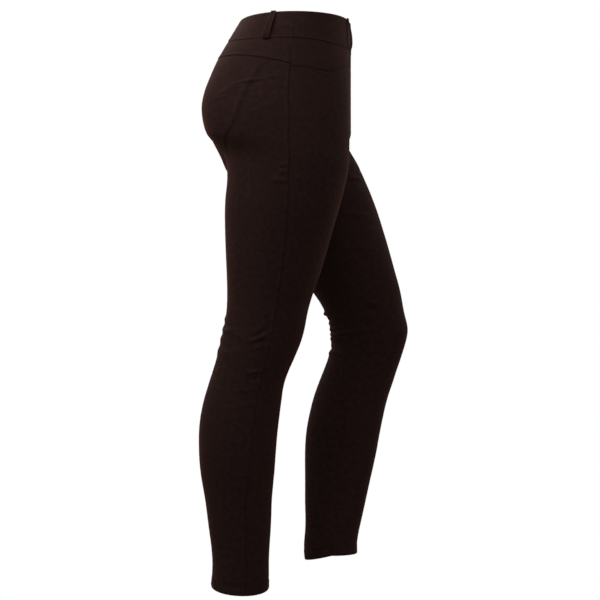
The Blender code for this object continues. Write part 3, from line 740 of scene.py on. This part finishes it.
# %% Finished borders
PUCKER_STEP, PUCKER_SWING, PUCKER_DRIFT, PUCKER_HEIGHT, PUCKER_REACH = 0.0115, 2.1, 0.083, 0.0003, 0.0035
PANEL_SEAM, MEETING_FADE, MEETING_REACH = ("hollow", "crest"), 0.8, 0.012


def bumps(distance, shapes):
    """The sum of soft bumps, each with its size, middle and width."""
    return sum(size * np.exp(-((distance - middle) / width) ** 2) for size, middle, width in shapes)


def ripple(run, step, swing, drift):
    """A wave along a seam whose step drifts a little."""
    return np.sin(2 * math.pi * run / step + swing * np.sin(2 * math.pi * run / drift))


def border_distances(points):
    """Distance over the cloth from each of a grid's four borders."""
    around = np.linalg.norm(np.diff(points, axis=1), axis=-1)
    down = np.linalg.norm(np.diff(points, axis=0), axis=-1)
    start = np.pad(np.cumsum(around, axis=1), ((0, 0), (1, 0)))
    top = np.pad(np.cumsum(down, axis=0), ((1, 0), (0, 0)))
    return {"top": top, "bottom": top[-1] - top, "start": start, "end": start[:, -1:] - start}


def finish_borders(points, drops, borders):
    """Height, and painted shade and painted highlight (partly wear), that a piece's borders give its cloth.
    """
    far = border_distances(points)
    height, painted_light_and_wear = 0 * drops, 0 * drops
    for place, kind in borders.items():
        heights, painted_light_and_wear_bumps, (ledge, start, breadth), pucker, (fade_from, over, share) = BORDERS[kind]
        d, run = far[place], far["top" if place in ("start", "end") else "start"]
        weak = 1 - share * ease((drops - fade_from) / over)
        if kind in PANEL_SEAM:
            weak = weak * (1 - bumps(far["top"], [(MEETING_FADE, 0, MEETING_REACH)]))
        height += weak * (ledge * (1 - ease((d - start) / breadth)) + bumps(d, heights))
        # painted shade and painted highlight, partly wear, near the border
        painted_light_and_wear += weak * bumps(d, painted_light_and_wear_bumps)
        beside = (d - (HEM_STITCH if kind == "hem" else 0)) / PUCKER_REACH
        wave = ripple(run, PUCKER_STEP, PUCKER_SWING, PUCKER_DRIFT)
        height += pucker * PUCKER_HEIGHT * wave * (beside * np.exp(-np.abs(beside)))
    return height, painted_light_and_wear


print("puckers", PUCKER_STEP, "m apart")

# %% [markdown]
# ## Walls of cloth
# A piece of cloth is a closed thin wall: an outer grid of points, the same points moved in by
# the cloth's thickness, and a rim. The grid is fine near the seams, where the form is sharp,
# and coarser inside. Texture coordinates are metres across and along the cloth, and they run
# the same way round on both legs, so that the twill slants one way all over.


# %% Walls
FINE_STEP, BUSY_STEP, COARSE_STEP, STEP_REACH, RUN_SAMPLES = 0.0008, 0.0013, 0.0030, 0.010, 3000
CREASE = math.radians(40)
PIECES = {}


def steps(length, busy=()):
    """Places from 0 to 1, close together near both ends and in busy stretches."""
    run = np.linspace(0, length, RUN_SAMPLES)
    size = FINE_STEP + (COARSE_STEP - FINE_STEP) * ease(np.minimum(run, length - run) / STEP_REACH)
    for start, end in busy:
        outside = np.maximum(start - run, run - end)
        size = np.minimum(size, BUSY_STEP + (COARSE_STEP - BUSY_STEP) * ease(outside / STEP_REACH))
    count = np.concatenate([[0], np.cumsum(np.diff(run) / size[1:])])
    return np.interp(np.linspace(0, count[-1], math.ceil(count[-1]) + 1), count, run / length)


def add_wall(name, outer, inner, uv, painted_light_and_wear):
    """A closed wall between two grids of points, kept in PIECES with both of them."""
    rows, cols, _ = outer.shape
    total = rows * cols
    index = np.arange(total).reshape(rows, cols)
    quads = np.stack([index[:-1, :-1], index[:-1, 1:], index[1:, 1:], index[1:, :-1]], axis=-1)
    quads = quads.reshape(-1, 4)
    rim = np.concatenate([index[0, :-1], index[:-1, -1], index[-1, :0:-1], index[:0:-1, 0]])
    after = np.roll(rim, -1)
    edge = np.stack([after, rim, rim + total, after + total], axis=-1)
    faces = np.concatenate([quads, quads[:, ::-1] + total, edge])
    points = np.concatenate([outer.reshape(-1, 3), inner.reshape(-1, 3)])
    a, b, c, d = (points[faces[:, k]] for k in range(4))
    if np.sum(a * (np.cross(b, c) + np.cross(c, d))) < 0:
        faces = faces[:, ::-1]
    mesh = bpy.data.meshes.new(name)
    mesh.from_pydata(points.tolist(), [], faces.tolist())
    layer = mesh.uv_layers.new(name="cloth")
    layer.data.foreach_set("uv", np.tile(uv.reshape(-1, 2), (2, 1))[faces.ravel()].ravel())
    # per-point painted shade (below 0) and painted highlight with wear (above 0), read by the twill's
    # colour
    mesh.attributes.new("painted_light_and_wear", "FLOAT", "POINT").data.foreach_set("value", np.tile(painted_light_and_wear.ravel(), 2))
    mesh.shade_smooth()
    mesh.set_sharp_from_angle(angle=CREASE)
    PIECES[name] = add_object(name, mesh), outer, inner
    print(name, outer.shape[:2], len(faces), "faces")


print("steps along 0.1 m:", len(steps(0.1)))

# %% One piece of cloth
SOFTNESS = ((0.060, 5, 0.0005), (0.021, 6, 0.00018))  # size, seed and height of the unevenness
SOFT_EDGE = 0.006


def strip(upper, lower, ways, depth):
    """Drops of a grid that fills the space between two seam lines."""
    share = steps(depth)[:, None]
    return upper(ways) * (1 - share) + lower(ways) * share


def cut_piece(name, side, drops, ways, borders, thickness=CLOTH):
    """Lay a grid on one side, finish its borders, fold it and give it its thickness."""
    drops, ways = np.broadcast_arrays(drops, ways)
    base, out, uv = side.lay(drops, ways)
    height, painted_light_and_wear = finish_borders(base, drops, borders)
    along, across = side.along(drops), side.across(drops, ways)
    soft = sum(uneven(along, across, size, seed) * most for size, seed, most in SOFTNESS)
    inside = 1 - np.exp(-np.min(list(border_distances(base).values()), axis=0) / SOFT_EDGE)
    height += fold_height(side, drops, ways) + soft * inside
    outer = base + out * height[..., None]
    wall = np.broadcast_to(thickness, drops.shape)
    add_wall(name, outer, outer - out * wall[..., None], uv, painted_light_and_wear)


print("cloth", CLOTH, "m thick")

# %% [markdown]
# ## Fronts and pocket facings
# The front of each leg is one long piece from the waistband to the hem. Its upper outer edge
# is cut as a scoop and stitched down on the facing, a small curved piece of the same twill,
# which makes the mock pocket. The front's edge therefore stands a cloth's thickness proud.


# %% Rows down the leg
# Stretches along the leg where folds lie, which get finer rows.
FOLDED = ((-0.142, -0.095), (0.028, 0.058), (0.090, 0.118), (0.148, 0.174), (0.222, 0.348))
CROTCH_CLEAR = 0.0006
HEM_LEDGE, HEM_SLOPE = 0.0135, 0.003


def leg_rows(side, first):
    """Rows from a seam line down to the hem, fine at both ends, at the crotch and in folds."""
    top = side.along(first)
    busy = [(start - top, end - top) for start, end in FOLDED]
    level = first + (side.hem - first) * steps(side.along(side.hem) - top, busy=busy)
    apart = np.abs(level[:, None] - CROTCH_ROWS).min(axis=1) > CROTCH_CLEAR
    return np.sort(np.concatenate([level[apart], CROTCH_ROWS]))[:, None]


def hem_wall(side, rows):
    """Twice the cloth within the turned hem."""
    left_over = side.along(side.hem) - side.along(rows)
    return HEM_CLOTH + (CLOTH - HEM_CLOTH) * ease((left_over - HEM_LEDGE) / HEM_SLOPE)


print("finer rows in", len(FOLDED), "stretches")

# %% Fronts
SCOOP_START = float(SCOOP["drop"][0])
FACING_WIDTH, FACING_DEPTH = 0.20, 0.045
for label, side in SIDES:
    rows = leg_rows(side, SCOOP_START)
    ways = -steps(float(side.lengths[:, 0].max()))[None, :]
    cut_piece("front_" + label, side, fan(rows, ways, front_top, SCOOP_START), ways,
              {"top": "scooped", "start": "ditch", "end": "inseam", "bottom": "hem"}, hem_wall(side, rows))
    ways = -SCOOP_END * steps(FACING_WIDTH)[None, :-1]
    cut_piece("pocket_facing_" + label, side, strip(band_line, scoop_line, ways, FACING_DEPTH), ways,
              {"top": "banded", "start": "joined", "bottom": "under"})

# %% [markdown]
# ## Yokes and back panels
# The back is cut in three: a shaped yoke that replaces the darts, and below it two panels
# whose seam follows the fullness of the seat. The seam is pressed toward the side, so it
# shows as a broad soft hollow with a fuller edge toward the middle. Further down it runs
# straight behind the leg to the hem.

# %% Backs
PANEL_WIDTH, SPLIT_GUESS, SPLIT_ROUNDS = 0.150, 0.3, 8
for label, side in SIDES:
    ways = steps(float(side.lengths[:, 1][side.rows < YOKE_SIDE].max()))[None, :]
    cut_piece("yoke_" + label, side, strip(band_line, yoke_line, ways, YOKE_SIDE - BAND_SIDE), ways,
              {"top": "banded", "start": "joined", "end": "seam", "bottom": "over"})
    rows = leg_rows(side, YOKE_SIDE)
    split = SPLIT_GUESS + 0 * rows
    for _ in range(SPLIT_ROUNDS):
        split = panel_way(side, fan(rows, split, yoke_line, YOKE_SIDE))
    across = steps(PANEL_WIDTH)[None, :]
    for name, ways, start, end in (("back_side_", split * across, "ridge", "hollow"),
                                   ("back_inner_", split + (1 - split) * across, "crest", "inseam")):
        cut_piece(name + label, side, fan(rows, ways, yoke_line, YOKE_SIDE), ways,
                  {"top": "under", "start": start, "end": end, "bottom": "hem"}, hem_wall(side, rows))


# %% [markdown]
# ## Waistband
# The band is a strip folded over flat elastic, so it is thicker than the rest and a little
# full between its edges. It is stitched down on the pieces below. Its front half and its
# back half meet at the side seams.


# %% Waistband
BAND_FULL, BAND_ROUND = 0.0006, 0.7
RIPPLE_HEIGHT, RIPPLE_STEP, RIPPLE_SWING, RIPPLE_DRIFT = 0.00022, 0.0105, 2, 0.061


def cut_band(name, way_sign):
    """The band's front or back: a grid on each side, joined in the middle plane."""
    halves = []
    for side in (right, left):
        longest = float(side.lengths[:, int(way_sign > 0)][side.rows < BAND_SIDE].max())
        at_seam = steps(2 * longest)
        ways = np.append(way_sign * 2 * at_seam[at_seam <= 0.5], way_sign)[None, :]
        share = steps(BAND_SIDE)[:, None]
        drops, ways = np.broadcast_arrays(strip(edge_line, band_line, ways, BAND_SIDE), ways)
        base, out, uv = side.lay(drops, ways)
        height, painted_light_and_wear = finish_borders(base, drops, {"top": "fold", "bottom": "over", "start": "joined"})
        height += BAND_FULL * np.sin(math.pi * share) ** BAND_ROUND
        wave = ripple(side.across(drops, ways), RIPPLE_STEP, RIPPLE_SWING, RIPPLE_DRIFT)
        outer = base + out * (height + RIPPLE_HEIGHT * wave * share ** 2)[..., None]
        halves.append((outer, outer - out * BAND_CLOTH, uv, painted_light_and_wear))
    add_wall(name, *(np.concatenate([a, b[:, -2::-1]], axis=1) for a, b in zip(*halves)))


cut_band("waistband_front", -1.0)
cut_band("waistband_back", 1.0)

# %% [markdown]
# ## Belt loops
# Each loop is a narrow strip folded so that its raw edges are inside, laid over the band and
# tacked at its ends. Between them it stands up to four millimetres off the band.

# %% Belt loops
# Place, way of its head and of its foot, and how far the foot lies below the band.
LOOPS = (("front", -0.700, -0.700, 0.0030), ("back", 0.176, 0.200, 0.0020))
LOOP_WIDTH, LOOP_CLOTH, LOOP_RISE, LOOP_LIFT = 0.0095, 0.0016, 0.0003, 0.0013
LOOP_SLACK, LOOP_SAG, LOOP_BOW = 0.0035, 1.6, 2.5
LOOP_EDGE = ((-0.0007, 0, 0.0007), (0.0002, 0.0022, 0.0008))
# the loop's edges get a painted highlight, partly wear, and painted shade just inside them
LOOP_PAINTED_LIGHT_AND_WEAR = ((0.6, 0.0004, 0.0007), (-0.5, 0.0016, 0.0005))
LOOP_ROWS, LOOP_COLUMNS, BAND_ROW = 49, 15, 8
for label, side in SIDES:
    for place, head, foot, below in LOOPS:
        half = LOOP_WIDTH / 2 / float(side.lengths[BAND_ROW, int(head > 0)])
        share = np.linspace(0, 1, LOOP_ROWS)[:, None]
        ways = head + (foot - head) * share + half * np.linspace(-1, 1, LOOP_COLUMNS)[None, :]
        top, low = edge_line(head) - LOOP_RISE, band_line(foot) + below
        drops, ways = np.broadcast_arrays(top + (low - top) * share, ways)
        base, out, uv = side.lay(drops, ways)
        bow = LOOP_LIFT + LOOP_SLACK * (1 - np.abs(2 * share ** LOOP_SAG - 1) ** LOOP_BOW) + 0 * drops
        far = border_distances(base)
        edge = np.minimum(far["start"], far["end"])
        thick = LOOP_CLOTH + bumps(edge, LOOP_EDGE)
        add_wall(f"belt_loop_{place}_{label}", base + out * (bow + thick)[..., None],
                 base + out * bow[..., None], uv, bumps(edge, LOOP_PAINTED_LIGHT_AND_WEAR))
faces = sum(len(made.data.polygons) for made, _, _ in PIECES.values())
print("pieces:", len(PIECES), "triangles:", 2 * faces)

# %% [markdown]
# ## Twill
# Stretch twill is woven so that fine diagonal ribs climb its right side. It is dyed a very
# dark brown, matte, with a faint bloom of fibre ends that catches light at grazing angles
# and lights the outline. The real ribs are about 0.6 mm apart. Here they are drawn about
# three times as coarse, so that they still show when the whole garment is in view. Seams
# get painted shade where the cloth is sunk and a painted highlight, partly wear, on their
# raised edges.

# %% Twill patterns
RIB_STEP, RIB_TURN = 0.0018, math.radians(63)
WAVE_PERIOD = 0.31416  # of the wave texture at scale 1
# Cells for each metre: thick places of yarn 0.8 mm wide, clouds of dye of 8 mm, dents of 4 mm.
SLUB_CELLS, CLOUD_CELLS, DENT_CELLS, SLUB_STRETCH = 1300.0, 130.0, 260.0, 0.10

twill, tree = empty_material("twill")
uv = add_node(tree, "ShaderNodeUVMap", {}, uv_map="cloth")
turned = add_node(tree, "ShaderNodeMapping", {"Vector": uv, "Rotation": (0, 0, RIB_TURN)})
ribs = add_node(tree, "ShaderNodeTexWave", {
    "Vector": turned, "Scale": WAVE_PERIOD / RIB_STEP, "Distortion": 0.6, "Detail": 1.0,
    "Detail Scale": 1.5}, give="Fac")
drawn = add_node(tree, "ShaderNodeMapping", {"Vector": uv, "Scale": (1.0, SLUB_STRETCH, 1.0)})
slub, clouds, dents = (
    add_node(tree, "ShaderNodeTexNoise", {"Vector": where, "Scale": cells, "Detail": detail})
    for where, cells, detail in ((drawn, SLUB_CELLS, 2.0), (uv, CLOUD_CELLS, 3.0), (uv, DENT_CELLS, 2.0)))
# painted shade and painted highlight (partly wear) from the borders
painted_light_and_wear = add_node(tree, "ShaderNodeAttribute", {}, give="Fac", attribute_name="painted_light_and_wear")
print("ribs", RIB_STEP, "m apart")

# %% Twill colour
# The third brown is a painted highlight, partly wear, for raised edges; the fourth is painted shade for
# sunk seams.
BROWN, BROWN_DEEP, BROWN_WEAR_AND_HIGHLIGHT, BROWN_PAINTED_SHADE = "241716", "18100E", "3A2926", "0A0706"
PLAIN_SHADE, SHADES = -0.70, ((slub, 0.6), (clouds, 1.6), (ribs, 0.30))
WEAR_AND_HIGHLIGHT_SHARE, PAINTED_SHADE_SHARE = 0.8, -0.65

shade = PLAIN_SHADE
for pattern, share in SHADES:
    shade = add_node(tree, "ShaderNodeMath", {0: pattern, 1: share, 2: shade}, operation="MULTIPLY_ADD")
colours = {0: shade, 6: linear(BROWN_DEEP), 7: linear(BROWN)}
colour = add_node(tree, "ShaderNodeMix", colours, give=2, data_type="RGBA")
# mix in the painted highlight (partly wear) and the painted shade
for share, other in ((WEAR_AND_HIGHLIGHT_SHARE, BROWN_WEAR_AND_HIGHLIGHT), (PAINTED_SHADE_SHARE, BROWN_PAINTED_SHADE)):
    there = add_node(tree, "ShaderNodeMath", {0: painted_light_and_wear, 1: share}, operation="MULTIPLY", use_clamp=True)
    colours = {0: there, 6: colour, 7: linear(other)}
    colour = add_node(tree, "ShaderNodeMix", colours, give=2, data_type="RGBA")
print("dyed", BROWN)

# %% Twill surface
BLOOM, GLOSS = "C0704C", "D0A58C"
RELIEF = ((0.5, 0.00025, ribs), (0.4, 0.00020, slub), (0.3, 0.0006, dents))  # strength, depth and pattern

below = {}
for strength, depth, pattern in RELIEF:
    relief = {"Strength": strength, "Distance": depth, "Height": pattern, **below}
    below = {"Normal": add_node(tree, "ShaderNodeBump", relief)}
surface = add_node(tree, "ShaderNodeBsdfPrincipled", {
    "Base Color": colour, "Roughness": 0.82, "Sheen Weight": 0.10, "Sheen Roughness": 0.40,
    "Sheen Tint": linear(BLOOM), "Specular IOR Level": 0.03, "Specular Tint": linear(GLOSS), **below})
add_node(tree, "ShaderNodeOutputMaterial", {"Surface": surface})
for made, _, _ in PIECES.values():
    made.data.materials.append(twill)
print("material nodes:", len(tree.nodes))

# %% [markdown]
# ## Stitches
# Everything is sewn with thread in the cloth's own colour, so the stitches hardly show: two
# rows on the pocket's edge and on the yoke, one round the band's lower edge, one round each
# hem, two down each belt loop and a tight bar tack across its ends. A row is a line of
# places on the finished cloth, with the direction that it runs in and the way out.

# %% Stitch rows
STITCH_STEP, STITCH_LENGTH, THREAD, THREAD_RISE, GLANCE = 0.0030, 0.0024, 0.0005, 0.15, 0.0005
BAR_STEP, BAR_LENGTH, BAR_ROWS = 0.0006, 0.0008, (2, -3)
EDGE_ROW, SECOND_ROW, SCOOP_SHARE = 0.0016, 0.0056, 0.80
stitch_spots = []


def sew(points, out, step=STITCH_STEP, length=STITCH_LENGTH):
    """Stitches along a line of points."""
    run = run_along(points)
    spots = np.arange(step / 2, run[-1], step)
    place, away = between(spots, run, points), unit(between(spots, run, out))
    ahead = unit(between(spots + GLANCE, run, points) - place)
    stitch_spots.append((place + away * THREAD * THREAD_RISE, ahead, away, np.full(len(spots), length)))


def sew_border(name, place, distance, last=1.0):
    """A row of stitches at a distance from one border of a piece, over a share of it."""
    _, points, inner = PIECES[name]
    away, far = unit(points - inner), border_distances(points)[place]
    if place in ("start", "end"):
        far, points, away = far.T, points.transpose(1, 0, 2), away.transpose(1, 0, 2)
    if place in ("bottom", "end"):
        far, points, away = far[::-1], points[::-1], away[::-1]
    columns = np.arange(int(last * far.shape[1]))
    columns = columns[far[-1, columns] > distance]
    at = np.array([np.interp(distance, far[:, c], np.arange(len(far))) for c in columns])
    low, share = at.astype(int), (at % 1)[:, None]
    line = points[low, columns] * (1 - share) + points[low + 1, columns] * share
    sew(line, away[low, columns])


for label in ("right", "left"):
    for distance in (EDGE_ROW, SECOND_ROW):
        sew_border("front_" + label, "top", distance, last=SCOOP_SHARE)
        sew_border("yoke_" + label, "bottom", distance)
    for name in ("front_", "back_side_", "back_inner_"):
        sew_border(name + label, "bottom", HEM_STITCH)
    for loop in ("belt_loop_front_" + label, "belt_loop_back_" + label):
        for edge in ("start", "end"):
            sew_border(loop, edge, EDGE_ROW)
        _, points, inner = PIECES[loop]
        for row in BAR_ROWS:
            sew(points[row, 1:-1], unit(points - inner)[row, 1:-1], BAR_STEP, BAR_LENGTH)
for name in ("waistband_front", "waistband_back"):
    sew_border(name, "bottom", EDGE_ROW)
print("stitches:", sum(len(s[0]) for s in stitch_spots))

# %% [markdown]
# One node tree turns the places into thread: a small rounded bead is set on each, turned
# along its row, and the result is made into one plain mesh. The thread is smooth and a
# little glossier than the twill.

# %% Thread
THREAD_BROWN, THREAD_BLOOM, TWIST_CELLS = "1E1511", "C08A68", 2600.0

thread, tree = empty_material("thread")
local = add_node(tree, "ShaderNodeTexCoord", {}, give="Object")
twist = add_node(tree, "ShaderNodeTexNoise", {"Vector": local, "Scale": TWIST_CELLS, "Detail": 1.0})
twisted = add_node(tree, "ShaderNodeBump", {"Strength": 0.4, "Distance": 0.0001, "Height": twist})
shine = add_node(tree, "ShaderNodeBsdfPrincipled", {
    "Base Color": linear(THREAD_BROWN), "Roughness": 0.6, "Normal": twisted, "Sheen Weight": 0.05,
    "Sheen Tint": linear(THREAD_BLOOM), "Specular IOR Level": 0.10})
add_node(tree, "ShaderNodeOutputMaterial", {"Surface": shine})
print("thread", THREAD, "m thick")

# %% Stitch tree
BEAD_SEGMENTS, BEAD_RINGS = 6, 5

sewing = bpy.data.node_groups.new("sewing", "GeometryNodeTree")
sockets = {}
for name, way, kind in (("Places", "INPUT", "Geometry"), ("Thread thickness", "INPUT", "Float"),
                        ("Thread material", "INPUT", "Material"), ("Stitches", "OUTPUT", "Geometry")):
    sockets[name] = sewing.interface.new_socket(name, in_out=way, socket_type="NodeSocket" + kind)
given = sewing.nodes.new("NodeGroupInput").outputs
bead = add_node(sewing, "GeometryNodeMeshUVSphere", {
    "Segments": BEAD_SEGMENTS, "Rings": BEAD_RINGS, "Radius": 0.5})
stored = {}
for name, kind in (("ahead", "FLOAT_VECTOR"), ("away", "FLOAT_VECTOR"), ("length", "FLOAT")):
    read = add_node(sewing, "GeometryNodeInputNamedAttribute", {"Name": name}, data_type=kind).node
    stored[name] = next(s for s in read.outputs if s.enabled and s.name == "Attribute")
upright = add_node(sewing, "FunctionNodeAlignRotationToVector", {"Vector": stored["away"]}, axis="Z")
facing = add_node(sewing, "FunctionNodeAlignRotationToVector", {
    "Rotation": upright, "Vector": stored["ahead"]}, axis="X", pivot_axis="Z")
size = add_node(sewing, "ShaderNodeCombineXYZ", {
    "X": stored["length"], "Y": given["Thread thickness"], "Z": given["Thread thickness"]})
beads = add_node(sewing, "GeometryNodeInstanceOnPoints", {
    "Points": given["Places"], "Instance": bead, "Rotation": facing, "Scale": size})
real = add_node(sewing, "GeometryNodeRealizeInstances", {"Geometry": beads})
dyed = add_node(sewing, "GeometryNodeSetMaterial", {"Geometry": real, "Material": given["Thread material"]})
add_node(sewing, "NodeGroupOutput", {"Stitches": dyed})
print("sewing nodes:", len(sewing.nodes))

# %% Stitches
places = bpy.data.meshes.new("stitch_places")
spot, ahead, away, length = (np.concatenate(parts) for parts in zip(*stitch_spots))
places.from_pydata(spot.tolist(), [], [])
for name, values in (("ahead", ahead), ("away", away)):
    places.attributes.new(name, "FLOAT_VECTOR", "POINT").data.foreach_set("vector", values.ravel())
places.attributes.new("length", "FLOAT", "POINT").data.foreach_set("value", length)
stitching = add_object("stitching", places)
modifier = stitching.modifiers.new("sewing", "NODES")
modifier.node_group = sewing
modifier[sockets["Thread thickness"].identifier] = THREAD
modifier[sockets["Thread material"].identifier] = thread
bpy.context.view_layer.update()
evaluated = stitching.evaluated_get(bpy.context.evaluated_depsgraph_get())
stitches = bpy.data.meshes.new_from_object(evaluated)
stitching.modifiers.remove(modifier)
stitching.data = stitches
stitches.shade_smooth()
print("stitch triangles:", sum(len(p.vertices) - 2 for p in stitches.polygons))

# %% [markdown]
# ## Handing over
# Every piece stands for its solid and stays with the garment's one body. The size that each
# cloth piece was cut to is printed: the twill is cut smaller than it is worn, and stretches
# by about a twentieth.

# %% Hand over
STRETCH, LEAST_WIDTH = 1.05, 0.0101
for name, (made, outer, _) in PIECES.items():
    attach(made, "root")
    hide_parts(name)
    far = border_distances(outer)
    width, height = far["start"][:, -1].max() / STRETCH, far["top"][-1].max() / STRETCH
    a, b, c, d = outer[:-1, :-1], outer[:-1, 1:], outer[1:, 1:], outer[1:, :-1]
    area = float(np.linalg.norm(np.cross(c - a, d - b), axis=-1).sum() / 2 / STRETCH ** 2)
    flat = (round(float(max(width, LEAST_WIDTH)), 4), round(float(height), 4))
    area = min(area, flat[0] * flat[1])
    print(name, "cut to", flat, "area", round(area, 4))
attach(stitching, "root")
